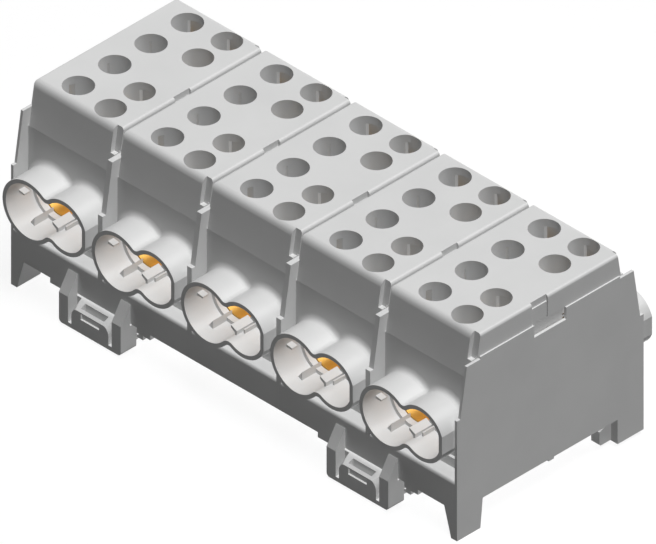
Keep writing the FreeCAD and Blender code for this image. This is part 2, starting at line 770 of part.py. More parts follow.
def make_screw(row, bore_top, slots):
    """Make a clamp screw with a coned tip and a slotted head, its tip at its own origin."""
    radius = f"@{row}_screw_r"
    tall = f"({SCREW_TOP_Z} - ({bore_top}) - @screw_lift)"
    blank = turn(
        f"{row}_screw_blank",
        [
            ("0", "0"),
            (f"{radius} - @screw_tip", "0"),
            (radius, "@screw_tip"),
            (radius, f"{tall} - @screw_bevel"),
            (f"{radius} - @screw_bevel", tall),
            ("0", tall),
        ],
    )
    half = f"@{row}_slot / 2"
    foot_z = f"{tall} - @slot_depth"
    over_z = f"{tall} + 1"
    across = box(
        f"{row}_slot_x", (f"-{radius} - 1", f"-{half}", foot_z), (f"{radius} + 1", half, over_z)
    )
    if slots == 1:
        return cut(f"{row}_screw", blank, across)
    reach = f"{radius} * @cross_share"
    along = box(f"{row}_slot_y", (f"-{half}", f"-{reach}", foot_z), (half, reach, over_z))
    return cut(f"{row}_screw", blank, across, along)


def make_cap():
    """Make the cap of a pole, with leaning skirts, sleeves over the screws and a snap tab."""
    holes = []
    sleeves = []
    for number in SCREWS:
        for row, x, y in (
            ("main", MAIN_X, main_screw_y(number)),
            ("branch", BRANCH_X, branch_screw_y(number)),
        ):
            radius = f"@{row}_access_r"
            sleeve = rod(
                f"{row}_sleeve_{number}",
                f"{radius} + @sleeve_wall",
                (x, y, SLEEVE_Z),
                "@sleeve_drop + @cap_plate / 2",
                "z",
            )
            sleeves.append(sleeve)
            holes.append(
                rod(f"{row}_access_{number}", radius, (x, y, "0"), "@case_height + 1", "z")
            )
    slotted = cut("cap_sleeves", fuse("cap_sleeves_closed", *sleeves), *make_sleeve_slots())
    with_sleeves = fuse("cap_with_sleeves", make_cap_shell(), slotted, *make_cap_webs())
    return cut("cap", with_sleeves, *holes, *make_cap_notches())


def make_sleeve_slots():
    """Make the cutters for the slots, slits and openings in the sleeves, under the top plate.

    The front main sleeve has a slot in its left side, and the first three main sleeves have a
    narrow slit there. The last main sleeve and every second branch sleeve are open to the back.
    """
    slots = []
    for number, name, width, share in (
        ("1", "slot", "@sleeve_slot", "0.55"),
        ("1", "slit", "@sleeve_slit", "0.75"),
        ("2", "slit", "@sleeve_slit", "0.45"),
        ("3", "slit", "@sleeve_slit", "0.75"),
    ):
        back_y = f"({main_screw_y(number)} + @main_access_r * {share})"
        slots.append(
            box(
                f"sleeve_{name}_{number}",
                (f"{MAIN_X} - @main_access_r - @sleeve_wall", f"{back_y} - {width}", "0"),
                (MAIN_X, back_y, CAP_UNDER_Z),
            )
        )
    for row, number, x, y in (
        ("main", "4", MAIN_X, main_screw_y("4")),
        ("branch", "2", BRANCH_X, branch_screw_y("2")),
        ("branch", "4", BRANCH_X, branch_screw_y("4")),
    ):
        low_x = f"({x} - @{row}_access_r * sin(45 deg))"
        slots.append(
            box(
                f"sleeve_opening_{row}_{number}",
                (low_x, y, "0"),
                (
                    f"{low_x} + @sleeve_opening",
                    f"{y} + @{row}_access_r + @sleeve_wall",
                    CAP_UNDER_Z,
                ),
            )
        )
    return slots


def make_cap_webs():
    """Make the cross webs inside the cap, one behind each of the two front rows of sleeves."""
    webs = []
    hollow_half = f"({HALF_PITCH} - @cap_seat_set - @cap_wall / 2)"
    for name, front_y in (
        ("front", f"({main_screw_y('1')} + @main_access_r * 0.55)"),
        ("middle", f"({branch_screw_y('2')} + @branch_access_r)"),
    ):
        webs.append(
            box(
                f"cap_web_{name}",
                (f"-{hollow_half}", front_y, SLEEVE_Z),
                (hollow_half, f"{front_y} + @cap_web", f"{CAP_UNDER_Z} + @cap_plate / 2"),
            )
        )
    return webs


def make_cap_shell():
    """Make the cap's shell: top plate, leaning skirts, lower sides and the snap tab."""
    skirt = [
        (f"{FRONT} + @panel_set", "@panel_top_z"),
        (f"{FRONT} + {CAP_TOP_SET}", "@case_height"),
        (f"-({FRONT} + {CAP_TOP_SET})", "@case_height"),
        (f"-({FRONT} + @panel_set)", "@panel_top_z"),
    ]
    wide_half = f"({HALF_PITCH} - @cap_inset)"
    seat_half = f"({HALF_PITCH} - @cap_seat_set)"
    wide = prism_along_x("cap_wide", skirt, f"-{wide_half}", f"2 * {wide_half}")
    seat = prism_along_x("cap_seat", skirt, f"-{seat_half}", f"2 * {seat_half}")
    above = box(
        "cap_above",
        ("-@pole_pitch", "-@case_depth", "@wall_top_z"),
        ("@pole_pitch", "@case_depth", "@case_height + 1"),
    )
    blank = fuse("cap_blank", common("cap_upper", wide, above), seat)
    top_z = size("case_height")
    ends_rounded = on_edges(
        "Part::Fillet",
        "cap_ends_rounded",
        blank,
        "cap_end_round",
        lambda edge: runs_along(edge, "x") and close(middle(edge).z, top_z),
    )
    rounded = on_edges(
        "Part::Fillet",
        "cap_rounded",
        ends_rounded,
        "cap_side_round",
        lambda edge: runs_along(edge, "y") and close(middle(edge).z, top_z),
    )
    inner = [
        (f"{FRONT} + @panel_set + @cap_skirt", "@panel_top_z"),
        (f"{FRONT} + {CAP_TOP_SET} + @cap_skirt", CAP_UNDER_Z),
        (f"-({FRONT} + {CAP_TOP_SET} + @cap_skirt)", CAP_UNDER_Z),
        (f"-({FRONT} + @panel_set + @cap_skirt)", "@panel_top_z"),
    ]
    hollow_half = f"({seat_half} - @cap_wall)"
    hollow = prism_along_x("cap_hollow", inner, f"-{hollow_half}", f"2 * {hollow_half}")
    below = box(
        "cap_below_sides",
        ("-@pole_pitch", f"-{CAVITY_HALF}", "0"),
        ("@pole_pitch", CAVITY_HALF, "@wall_top_z - @cap_lap"),
    )
    tab = box(
        "cap_tab",
        (hollow_half, "-@window_length / 2 + @tab_gap", "@wall_top_z - @window_drop - @tab_lap"),
        (seat_half, "@window_length / 2 - @tab_gap", "@wall_top_z"),
    )
    return fuse("cap_shell", cut("cap_hollowed", rounded, hollow, below), tab)


def make_cap_notches():
    """Make the cutters for the stepped notch and the two corner rebates on the right side."""
    notch_front = "(-@notch_shift - @notch_length / 2)"
    notch_back = "(-@notch_shift + @notch_length / 2)"
    wall_x = f"({HALF_PITCH} - @cap_seat_set)"
    notch_end = ("@pole_pitch", notch_back, "@case_height + 1")
    notch = box("notch", (f"{wall_x} + @notch_step", notch_front, "@wall_top_z"), notch_end)
    notch_top = box(
        "notch_top", (wall_x, notch_front, "@case_height - @notch_step_drop"), notch_end
    )
    lean = [
        (f"{FRONT} + @panel_set - @rebate_depth", "@panel_top_z"),
        (f"{FRONT} + @panel_set + @rebate_depth", "@panel_top_z"),
        (f"{FRONT} + {CAP_TOP_SET} + @rebate_depth", "@case_height"),
        (f"{FRONT} + {CAP_TOP_SET} - @rebate_depth", "@case_height"),
    ]
    slab = prism_along_x(
        "rebate_slab", lean, f"{HALF_PITCH} - @cap_inset - @rebate_width", "@rebate_width + 1"
    )
    above = box(
        "rebate_above",
        ("0", "-@case_depth", "@fin_top_z"),
        ("@pole_pitch", "@case_depth", "@case_height + 1"),
    )
    rebate = common("rebate", slab, above)
    return notch, notch_top, rebate, mirror("rebate_back", rebate, (0, 1, 0))


def make_latch():
    """Make a rail latch: cheeks, sprung tongue with its lever slot, wings and tooth."""
    half = "@latch_width / 2"
    front = f"({FRONT} - @latch_set)"
    case_y = f"({FRONT} - @latch_gap)"
    tail = f"({FRONT} + @latch_tail)"
    top_z = "(@base_z - @latch_gap)"

    def side_outline(front_z, rise):
        return [
            (front, "@latch_low_z"),
            (front, front_z),
            (case_y, f"{front_z} + {rise}"),
            (case_y, top_z),
            (tail, top_z),
            (tail, "@latch_low_z"),
        ]

    cheek = side_outline("@cheek_z", "@cheek_rise")
    left = prism_along_x("cheek_left", cheek, f"-{half}", "@cheek_width")
    right = prism_along_x("cheek_right", cheek, f"{half} - @cheek_width", "@cheek_width")
    tongue_half = f"({half} - @cheek_width - @tongue_gap)"
    tongue_blank = prism_along_x(
        "tongue_blank",
        side_outline("@tongue_z", "@tongue_rise"),
        f"-{tongue_half}",
        f"2 * {tongue_half}",
    )
    shoulder_z = size("tongue_z") + size("tongue_rise") / 2
    tongue = on_edges(
        "Part::Fillet",
        "tongue",
        tongue_blank,
        "tongue_round",
        lambda edge: close(middle(edge).z, shoulder_z) and not runs_along(edge, "x"),
    )
    web = box("latch_web", (f"-{half}", case_y, "@latch_low_z"), (half, tail, top_z))
    bar = box(
        "latch_bar_block",
        (f"-{half}", front, "@latch_low_z"),
        (half, tail, "@latch_low_z + @latch_bar"),
    )
    grip = fuse("latch_grip_part", left, right, tongue, web, bar)
    low_z = size("latch_low_z")
    half_width = size("latch_width") / 2
    rounded = on_edges(
        "Part::Fillet",
        "latch_rounded",
        grip,
        "latch_round",
        lambda edge: runs_along(edge, "y")
        and close(middle(edge).z, low_z)
        and close(abs(middle(edge).x), half_width),
    )
    lever_y = f"({case_y} - (@latch_set - @latch_gap) / 2)"
    lever_z = "@tongue_z + @tongue_rise - @lever_depth"
    lever = box(
        "lever_slot",
        ("-@lever_length / 2", f"{lever_y} - @lever_width / 2", lever_z),
        ("@lever_length / 2", f"{lever_y} + @lever_width / 2", "@case_height"),
    )
    recess = box(
        "grip_recess",
        ("-@grip_length / 2", f"{front} - 1", "@grip_z"),
        ("@grip_length / 2", f"{front} + @grip_depth", "@grip_z + @grip_height"),
    )
    front_part = cut("latch_front", rounded, lever, recess)
    return fuse("latch", front_part, *make_latch_slide(tail, top_z))


def make_latch_slide(tail, top_z):
    """Make the latch's wings, which run in the guides, and its tooth under the rail."""
    stop_y = f"({HALF_DEPTH} - @leg_depth - @rail_width - @rail_gap)"
    tip_y = f"({stop_y} + @rail_gap + @latch_grip)"
    wing_half = "@latch_width / 2"
    keel_half = "@keel_width / 2"
    wings = box("latch_wings", (f"-{wing_half}", tail, "@wing_z"), (wing_half, stop_y, top_z))
    keel = box(
        "latch_keel", (f"-{keel_half}", tail, "@hook_low_z"), (keel_half, stop_y, "@wing_z")
    )
    tooth = prism_along_x(
        "latch_tooth",
        [
            (stop_y, "@hook_low_z"),
            (stop_y, "@hook_root_z"),
            (tip_y, "@hook_tip_z"),
            (tip_y, "@hook_low_z + @hook_bevel"),
            (f"{tip_y} - @hook_bevel", "@hook_low_z"),
        ],
        "-@tooth_width / 2",
        "@tooth_width",
    )
    return wings, keel, tooth


def place(label, source, x, y, z):
    """Put a copy of a finished form where the part needs it, as a sub-part of its own."""
    obj = doc.addObject("Part::Feature", label)
    obj.Label = label
    obj.Shape = source.Shape.copy()
    for axis, expression in zip("xyz", (x, y, z)):
        bind(obj, f"Placement.Base.{axis}", expression)
    return obj


def pole_x(pole):
    """Place a pole along the row."""
    return f"({pole} - 3) * @pole_pitch"


def make_housings(case):
    """Make the case of each pole, with feet on the end poles and guides beside the latches."""
    right_supports = make_end_supports()
    left_supports = mirror("end_supports_left", right_supports, (1, 0, 0))
    right_guides = make_latch_guides()
    left_guides = mirror("latch_guides_left", right_guides, (1, 0, 0))
    extras = {
        "1": (left_supports, right_guides),
        "2": (left_guides,),
        "3": (),
        "4": (right_guides,),
        "5": (left_guides, right_supports),
    }
    forms = [
        fuse(f"case_form_{pole}", case, *extras[pole]) if extras[pole] else case for pole in POLES
    ]
    doc.recompute()
    return [
        place(f"housing_{pole}", form, pole_x(pole), "0", "0") for pole, form in zip(POLES, forms)
    ]


def make_screws(row, form, x, place_y, tip_z):
    """Place the four screws of one row in every pole."""
    return [
        place(f"{row}_screw_{pole}_{number}", form, f"{pole_x(pole)} + {x}", place_y(number), tip_z)
        for pole in POLES
        for number in SCREWS
    ]


def build():
    """Build every sub-part and return them as a list."""
    fill_sheet()
    main_top = "@main_z + @main_bore_r"
    branch_top = "@branch_z + @branch_bore_r"
    case = make_case()
    cap = make_cap()
    clamp_block = make_clamp_block()
    main_screw = make_screw("main", main_top, 1)
    branch_screw = make_screw("branch", branch_top, 2)
    latch = make_latch()
    doc.recompute()
    kept = make_housings(case)
    for pole in POLES:
        kept.append(place(f"cap_{pole}", cap, pole_x(pole), "0", "0"))
        kept.append(place(f"terminal_block_{pole}", clamp_block, pole_x(pole), "0", "0"))
    kept += make_screws("main", main_screw, MAIN_X, main_screw_y, f"{main_top} + @screw_lift")
    kept += make_screws(
        "branch", branch_screw, BRANCH_X, branch_screw_y, f"{branch_top} + @screw_lift"
    )
    kept.append(place("rail_latch_left", latch, "-1.5 * @pole_pitch", "0", "0"))
    kept.append(place("rail_latch_right", latch, "1.5 * @pole_pitch", "0", "0"))
    doc.recompute()
    return kept


def check(kept):
    """Stop if any object failed or any sub-part is not one valid solid."""
    for obj in doc.Objects:
        if any(word in obj.State for word in ("Invalid", "Error")):
            raise RuntimeError(f"{obj.Name} failed: {obj.State}")
    for obj in kept:
        shape = obj.Shape
        if shape.isNull() or not shape.isValid() or len(shape.Solids) != 1:
            raise RuntimeError(f"{obj.Label} is not one valid solid")


def write(kept):
    """Write each sub-part to its own STEP file."""
    os.makedirs("parts", exist_ok=True)
    for obj in kept:
        obj.Shape.exportStep(os.path.join("parts", f"{obj.Label}.step"))


sub_parts = build()
check(sub_parts)
write(sub_parts)
print(f"wrote {len(sub_parts)} sub-parts")
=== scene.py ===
"""Looks of a five pole power distribution block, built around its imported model.

Everything is in metres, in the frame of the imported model: X runs along the row of poles, Y from
the latches to the rail hooks and Z up from the table. Cases and clamp blocks keep their packed
form, and each case gains a hollow rounding round the roots of its funnels. Caps and latches are
finely cut copies of their packed form. The clamp screws are built anew, with their threads. The
camera gives the parallel view of the photograph.
"""
from __future__ import annotations

import logging
import math
from dataclasses import dataclass
from enum import Enum

import bmesh
import bpy
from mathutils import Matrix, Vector

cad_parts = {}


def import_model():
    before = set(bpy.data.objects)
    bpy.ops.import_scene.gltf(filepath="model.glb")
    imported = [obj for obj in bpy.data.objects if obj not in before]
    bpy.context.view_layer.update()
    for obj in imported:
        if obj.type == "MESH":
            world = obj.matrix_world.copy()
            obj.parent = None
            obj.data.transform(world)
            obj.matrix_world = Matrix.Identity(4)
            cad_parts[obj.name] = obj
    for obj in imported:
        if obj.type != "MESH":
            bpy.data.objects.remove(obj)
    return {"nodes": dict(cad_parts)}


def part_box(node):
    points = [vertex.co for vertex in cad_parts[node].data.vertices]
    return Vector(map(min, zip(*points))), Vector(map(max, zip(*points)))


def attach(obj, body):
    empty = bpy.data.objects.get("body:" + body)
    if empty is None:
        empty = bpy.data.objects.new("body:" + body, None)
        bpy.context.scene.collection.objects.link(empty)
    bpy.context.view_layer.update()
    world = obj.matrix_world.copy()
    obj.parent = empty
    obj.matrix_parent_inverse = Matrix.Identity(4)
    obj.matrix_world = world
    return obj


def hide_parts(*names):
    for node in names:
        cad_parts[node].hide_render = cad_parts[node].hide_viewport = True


LOG = logging.getLogger("power_block")
MM = 0.001
ROW_BODY = "block"
POLES = (1, 2, 3, 4, 5)
SCREWS = (1, 2, 3, 4)
FACINGS = {"front": -1, "back": 1}
SAME_PLACE = 0.001 * MM
QUARTER_TURN = math.pi / 2
FULL_TURN = 2 * math.pi

Colour = tuple[float, float, float]
Direction = tuple[float, float, float]
Place = tuple[float, float]
Nodes = dict[str, bpy.types.Object]
Socket = bpy.types.NodeSocket


class Slot(Enum):
    """Two material slot names, which nothing in this script uses."""

    CASE = "case_plastic"
    SCREW = "screw_steel"


class Drive(Enum):
    """How many slots the head of a clamp screw has for the screwdriver."""

    SLOT = 1
    CROSS = 2


class Smooth(Enum):
    """The angle up to which faces are shaded as one, in degrees."""

    BUILT = 32
    CUT = 25


class ShaderTree:
    """The node tree of one new material, with short ways to add and join nodes.

    Attributes:
        tint_ends: Where in a pattern the dark colour ends and where the light one starts.
        edge_samples: How many rays look for a sharp edge.
    """

    tint_ends: tuple[float, float] = (0.3, 0.7)
    edge_samples: int = 6

    def __init__(self, name: str) -> None:
        """Make the material and keep its shader.

        Args:
            name: The material's name.
        """
        self.material = bpy.data.materials.new(name)
        self.material.use_nodes = True
        self.tree = self.material.node_tree
        self.shader = self.tree.nodes["Principled BSDF"]

    def add(self, kind: str, **sockets: object) -> bpy.types.Node:
        """Add a node and fill its input sockets.

        Args:
            kind: The node's type.
            sockets: Input names, with _ for a blank, and their values or the sockets to link.

        Returns:
            The new node.
        """
        node = self.tree.nodes.new(kind)
        for name, value in sockets.items():
            self.fill(node.inputs[name.replace("_", " ")], value)
        return node

    def fill(self, socket: Socket, value: object) -> None:
        """Link a socket to an output, or set its own value.

        Args:
            socket: The input to fill.
            value: An output socket to link, or a plain value.
        """
        if isinstance(value, bpy.types.NodeSocket):
            self.tree.links.new(value, socket)
        else:
            socket.default_value = value

    def place(self) -> Socket:
        """Return the coordinates that stay with the piece, in metres."""
        return self.add("ShaderNodeTexCoord").outputs["Object"]

    def noise(self, where: Socket, grain: float, detail: int) -> Socket:
        """Add a cloudy pattern.

        Args:
            where: The coordinates that it follows.
            grain: The size of its grain, in metres.
            detail: How many finer layers it has.

        Returns:
            The output that holds the pattern, from 0 to 1.
        """
        node = self.add("ShaderNodeTexNoise", Vector=where, Scale=1 / grain, Detail=detail)
        return node.outputs["Fac"]

    def spread(self, pattern: Socket, low: float, high: float) -> Socket:
        """Map a pattern onto a range of numbers.

        Args:
            pattern: The pattern, from 0 to 1.
            low: What 0 becomes.
            high: What 1 becomes.

        Returns:
            The output that holds the numbers.
        """
        node = self.add("ShaderNodeMapRange", Value=pattern, To_Min=low, To_Max=high)
        return node.outputs["Result"]

    def tint(self, pattern: Socket, dark: Colour, light: Colour) -> Socket:
        """Map a pattern onto a range of colours.

        Args:
            pattern: The pattern, from 0 to 1.
            dark: The colour at its low end.
            light: The colour at its high end.

        Returns:
            The output that holds the colours.
        """
        node = self.add("ShaderNodeValToRGB", Fac=pattern)
        stops = node.color_ramp.elements
        for stop, place, colour in zip(stops, self.tint_ends, (dark, light)):
            stop.position = place
            stop.color = (*colour, 1)
        return node.outputs["Color"]

    def bump(self, height: Socket, depth: float, normal: Socket | None = None) -> Socket:
        """Turn a pattern into relief.

        Args:
            height: The pattern, from 0 to 1.
            depth: The height of the relief, in metres.
            normal: The normal that it starts from, if not the surface's own.

        Returns:
            The output that holds the normal.
        """
        node = self.add("ShaderNodeBump", Height=height, Distance=depth)
        if normal is not None:
            self.fill(node.inputs["Normal"], normal)
        return node.outputs["Normal"]

    def softened(self, radius: float) -> Socket:
        """Round sharp edges in the shading.

        Args:
            radius: The radius of the rounding, in metres.

        Returns:
            The output that holds the normal.
        """
        node = self.add("ShaderNodeBevel", Radius=radius)
        node.samples = self.edge_samples
        return node.outputs["Normal"]

    def finish(self, colour: Socket, roughness: Socket, normal: Socket) -> bpy.types.Material:
        """Join the patterns to the shader.

        Args:
            colour: The output that holds the colours.
            roughness: The output that holds the roughness.
            normal: The output that holds the normal.

        Returns:
            The finished material.
        """
        self.fill(self.shader.inputs["Base Color"], colour)
        self.fill(self.shader.inputs["Roughness"], roughness)
        self.fill(self.shader.inputs["Normal"], normal)
        return self.material


@dataclass(frozen=True)
class MouldedPlastic:
    """Light grey moulded plastic with a fine satin skin.

    Attributes:
        name: The material's name.
        dark: The colour of the darker clouds.
        light: The colour of the lighter clouds.
        cloud: The size of the clouds, and cloud_detail how many finer layers they have.
        grain: The size of the skin's grain, and grain_detail how many finer layers it has.
        grain_depth: The height of the grain.
        edge_radius: The small rounding that moulding leaves on sharp edges.
        roughness: The roughness in the grain's low and high places.
        specular: How strongly the skin mirrors light, from 0 to 1.
    """

    name: str = "light_grey_plastic"
    dark: Colour = (0.580, 0.582, 0.581)
    light: Colour = (0.612, 0.614, 0.612)
    cloud: float = 14 * MM
    cloud_detail: int = 3
    grain: float = 0.22 * MM
    grain_detail: int = 4
    grain_depth: float = 0.006 * MM
    edge_radius: float = 0.05 * MM
    roughness: tuple[float, float] = (0.38, 0.46)
    specular: float = 0.3

    def make(self) -> bpy.types.Material:
        """Make the plastic.

        Returns:
            The new material.
        """
        tree = ShaderTree(self.name)
        place = tree.place()
        clouds = tree.noise(place, self.cloud, self.cloud_detail)
        grain = tree.noise(place, self.grain, self.grain_detail)
        tree.shader.inputs["Specular IOR Level"].default_value = self.specular
        colour = tree.tint(clouds, self.dark, self.light)
        roughness = tree.spread(grain, *self.roughness)
        relief = tree.bump(grain, self.grain_depth, tree.softened(self.edge_radius))
        return tree.finish(colour, roughness, relief)


@dataclass(frozen=True)
class CopperAlloy:
    """Bare machined copper alloy, with the rings that the drill left in the bores.

    Attributes:
        name: The material's name.
        dark: The colour of the darker clouds.
        light: The colour of the lighter clouds.
        cloud: The size of the clouds, and cloud_detail how many finer layers they have.
        ring: From one ring to the next.
        ring_share: What the wave texture's own spacing is at a scale of 1.
        ring_depth: The height of the rings.
        wander: How unevenly the rings run.
        roughness: The roughness in the clouds' low and high places.
        metal: How much the surface mirrors as metal does.
    """

    name: str = "machined_copper_alloy"
    dark: Colour = (0.565, 0.315, 0.062)
    light: Colour = (0.650, 0.385, 0.082)
    cloud: float = 5 * MM
    cloud_detail: int = 4
    ring: float = 0.30 * MM
    ring_share: float = 0.31
    ring_depth: float = 0.010 * MM
    wander: float = 0.6
    roughness: tuple[float, float] = (0.28, 0.44)
    metal: float = 0.6

    def make(self) -> bpy.types.Material:
        """Make the alloy.

        Returns:
            The new material.
        """
        tree = ShaderTree(self.name)
        place = tree.place()
        clouds = tree.noise(place, self.cloud, self.cloud_detail)
        scale = self.ring_share / self.ring
        rings = tree.add("ShaderNodeTexWave", Vector=place, Scale=scale, Distortion=self.wander)
        rings.wave_type = "BANDS"
        rings.bands_direction = "Y"
        tree.shader.inputs["Metallic"].default_value = self.metal
        colour = tree.tint(clouds, self.dark, self.light)
        roughness = tree.spread(clouds, *self.roughness)
        relief = tree.bump(rings.outputs["Fac"], self.ring_depth)
        return tree.finish(colour, roughness, relief)


@dataclass(frozen=True)
class PlatedSteel:
    """Zinc plated steel with a faint blue cast and fine turning marks.

    Attributes:
        name: The material's name.
        dark: The colour of the darker clouds.
        light: The colour of the lighter clouds.
        cloud: The size of the clouds, and cloud_detail how many finer layers they have.
        grain: The size of the marks, and grain_detail how many finer layers they have.
        grain_depth: The height of the marks.
        roughness: The roughness in the clouds' low and high places.
        metal: How much the surface mirrors as metal does.
    """

    name: str = "plated_steel"
    dark: Colour = (0.170, 0.175, 0.180)
    light: Colour = (0.235, 0.240, 0.250)
    cloud: float = 2.5 * MM
    cloud_detail: int = 4
    grain: float = 0.12 * MM
    grain_detail: int = 2
    grain_depth: float = 0.006 * MM
    roughness: tuple[float, float] = (0.50, 0.62)
    metal: float = 1.0

    def make(self) -> bpy.types.Material:
        """Make the steel.

        Returns:
            The new material.
        """
        tree = ShaderTree(self.name)
        place = tree.place()
        clouds = tree.noise(place, self.cloud, self.cloud_detail)
        grain = tree.noise(place, self.grain, self.grain_detail)
        tree.shader.inputs["Metallic"].default_value = self.metal
        colour = tree.tint(clouds, self.dark, self.light)
        roughness = tree.spread(clouds, *self.roughness)
        return tree.finish(colour, roughness, tree.bump(grain, self.grain_depth))


@dataclass(frozen=True)
class Arc:
    """A round stretch of an outline.

    Attributes:
        centre: The middle of its circle.
        radius: The radius of its circle.
        start: A point on whose side of the centre it starts.
        end: A point on whose side of the centre it ends.
        steps: How many points stand for it.
        clockwise: Which way it runs.
    """

    centre: Vector
    radius: float
    start: Vector
    end: Vector
    steps: int
    clockwise: bool

    def places(self) -> list[Place]:
        """Work out the arc's points.

        Returns:
            The points in order, without the last, where the next stretch starts.
        """
        start, end = self.start - self.centre, self.end - self.centre
        first = math.atan2(start.y, start.x)
        turn = (math.atan2(end.y, end.x) - first) % FULL_TURN
        if self.clockwise:
            turn -= FULL_TURN
        angles = [first + turn * step / self.steps for step in range(self.steps)]
        return [
            (self.centre.x + self.radius * math.cos(a), self.centre.y + self.radius * math.sin(a))
            for a in angles
        ]


@dataclass(frozen=True)
class Cases:
    """The cases, with a hollow rounding where their joined funnels run into the panels.

    Attributes:
        main: The middle of the main funnel, across from the pole's middle and up.
        main_radius: Its outer radius.
        branch: The middle of the branch funnel, across and up.
        branch_radius: Its outer radius.
        waist: The rounding between the two funnels.
        left: How far the pole lets the funnels reach to the left.
        right: How far it lets them reach to the right.
        panel: From the middle of the case to each panel.
        root: The radius of the hollow rounding.
        buried: How deep the rounding's back lies in the funnels and in the panel.
        root_steps: How many faces lie across the rounding.
        funnel_steps: How many faces lie along it round each funnel.
        waist_steps: How many faces lie along it round each side of the waist.
    """

    main: Place = (-4.83 * MM, 25.0 * MM)
    main_radius: float = 7.7 * MM
    branch: Place = (6.02 * MM, 26.2 * MM)
    branch_radius: float = 6.88 * MM
    waist: float = 1.3 * MM
    left: float = -13.4 * MM
    right: float = 12.48 * MM
    panel: float = 23.7 * MM
    root: float = 1.25 * MM
    buried: float = 0.3 * MM
    root_steps: int = 10
    funnel_steps: int = 96
    waist_steps: int = 10

    def build(self, nodes: Nodes, plastic: bpy.types.Material) -> None:
        """Dress the cases and put the roundings at their front and back panels.

        Args:
            nodes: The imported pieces.
            plastic: The finish of the cases.
        """
        for pole in POLES:
            paint(nodes, f"housing_{pole}", plastic)
        for word, facing in FACINGS.items():
            mesh = self.root_mesh(facing)
            mesh.materials.append(plastic)
            for pole in POLES:
                piece = link_object(f"funnel_root_{word}_{pole}", mesh)
                piece.location.x = middle(*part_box(f"terminal_block_{pole}")).x
                take_in(piece, ROW_BODY)

    def outline(self, out: float) -> list[Place]:
        """Work out the outline of the joined funnels, widened all round.

        Args:
            out: How far outside the funnels' skin it runs, less than the waist's rounding.

        Returns:
            Places across and up, counted from the middle of the pole and the table.
        """
        main, branch = Vector(self.main), Vector(self.branch)
        across = branch - main
        to_main = self.main_radius + self.waist
        to_branch = self.branch_radius + self.waist
        along = (to_main**2 - to_branch**2 + across.length_squared) / (2 * across.length)
        aside = math.sqrt(to_main**2 - along**2)
        forward = across.normalized()
        upward = Vector((-forward.y, forward.x))
        upper = main + forward * along + upward * aside
        lower = main + forward * along - upward * aside
        hollow = self.waist - out
        round_main, round_branch = self.main_radius + out, self.branch_radius + out
        arcs = (
            Arc(main, round_main, upper, lower, self.funnel_steps, clockwise=False),
            Arc(lower, hollow, main, branch, self.waist_steps, clockwise=True),
            Arc(branch, round_branch, lower, upper, self.funnel_steps, clockwise=False),
            Arc(upper, hollow, branch, main, self.waist_steps, clockwise=True),
        )
        places = [place for arc in arcs for place in arc.places()]
        return [(min(max(x, self.left), self.right), z) for x, z in places]

    def root_mesh(self, facing: int) -> bpy.types.Mesh:
        """Sweep the hollow rounding along the funnels' outline.

        Args:
            facing: -1 for the front panel and 1 for the back panel.

        Returns:
            The finished mesh, in the place of a pole at the middle of the row.
        """
        turns = [QUARTER_TURN * step / self.root_steps for step in range(self.root_steps + 1)]
        section = [
            (self.root * (1 - math.cos(turn)), self.root * (1 - math.sin(turn))) for turn in turns
        ]
        section += [
            (self.root, -self.buried),
            (-self.buried, -self.buried),
            (-self.buried, self.root),
        ]
        form = bmesh.new()
        rings = []
        for out, lift in section:
            y = facing * (self.panel + lift)
            rings.append([form.verts.new((x, y, z)) for x, z in self.outline(out)])
        for before, after in zip(rings, rings[1:] + rings[:1]):
            join_rings(form, before, after)
        bmesh.ops.recalc_face_normals(form, faces=form.faces)
        mesh = to_mesh("funnel_root", form)
        shade(mesh, Smooth.BUILT)
        return mesh


@dataclass(frozen=True)
class Caps:
    """The caps, with a wide rounding over the front and the back edge of their tops.

    Attributes:
        brow: The radius of the rounding.
        lean: How far the cap's front and back lean from upright, in degrees.
        overlap: How far the cut stays off the top and off the leaning face.
        clear: How far the cutters stand out of the cap.
        steps: How many faces lie across the rounding.
    """

    brow: float = 1.95 * MM
    lean: float = 9.3
    overlap: float = 0.004 * MM
    clear: float = 2.0 * MM
    steps: int = 14

    def build(self, nodes: Nodes, plastic: bpy.types.Material) -> None:
        """Dress the caps and round their edges.

        Args:
            nodes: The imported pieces.
            plastic: The finish of the caps.
        """
        for pole in POLES:
            name = f"cap_{pole}"
            paint(nodes, name, plastic)
            finish_form(nodes[name], name, ROW_BODY, self.cutters(name))

    def cutters(self, name: str) -> list[bpy.types.Object]:
        """Make what is taken off the two edges of a cap.

        Args:
            name: The cap's node.

        Returns:
            The cutters for the front and the back edge.
        """
        low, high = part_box(name)
        lean = math.radians(self.lean)
        centre_z = high.z - self.brow + self.overlap
        wall_y = high.y - (centre_z - low.z) * math.tan(lean)
        centre_y = wall_y - self.brow / math.cos(lean) + self.overlap
        turns = [(QUARTER_TURN - lean) * step / self.steps for step in range(self.steps + 1)]
        section = [
            (centre_y + self.brow * math.sin(turn), centre_z + self.brow * math.cos(turn))
            for turn in turns
        ]
        far, up = section[-1][0] + self.clear, high.z + self.clear
        section += [(far, section[-1][1]), (far, up), (section[0][0], up)]
        ends = (low.x - self.clear, high.x + self.clear)
        return [
            prism(f"brow_{word}", [(facing * y, z) for y, z in section], *ends)
            for word, facing in FACINGS.items()
        ]


@dataclass(frozen=True)
class ClampBlocks:
    """The clamp blocks, which keep their packed form."""

    def build(self, nodes: Nodes, alloy: bpy.types.Material) -> None:
        """Dress the clamp blocks.

        Args:
            nodes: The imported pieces.
            alloy: The finish of the clamp blocks.
        """
        for pole in POLES:
            paint(nodes, f"terminal_block_{pole}", alloy)


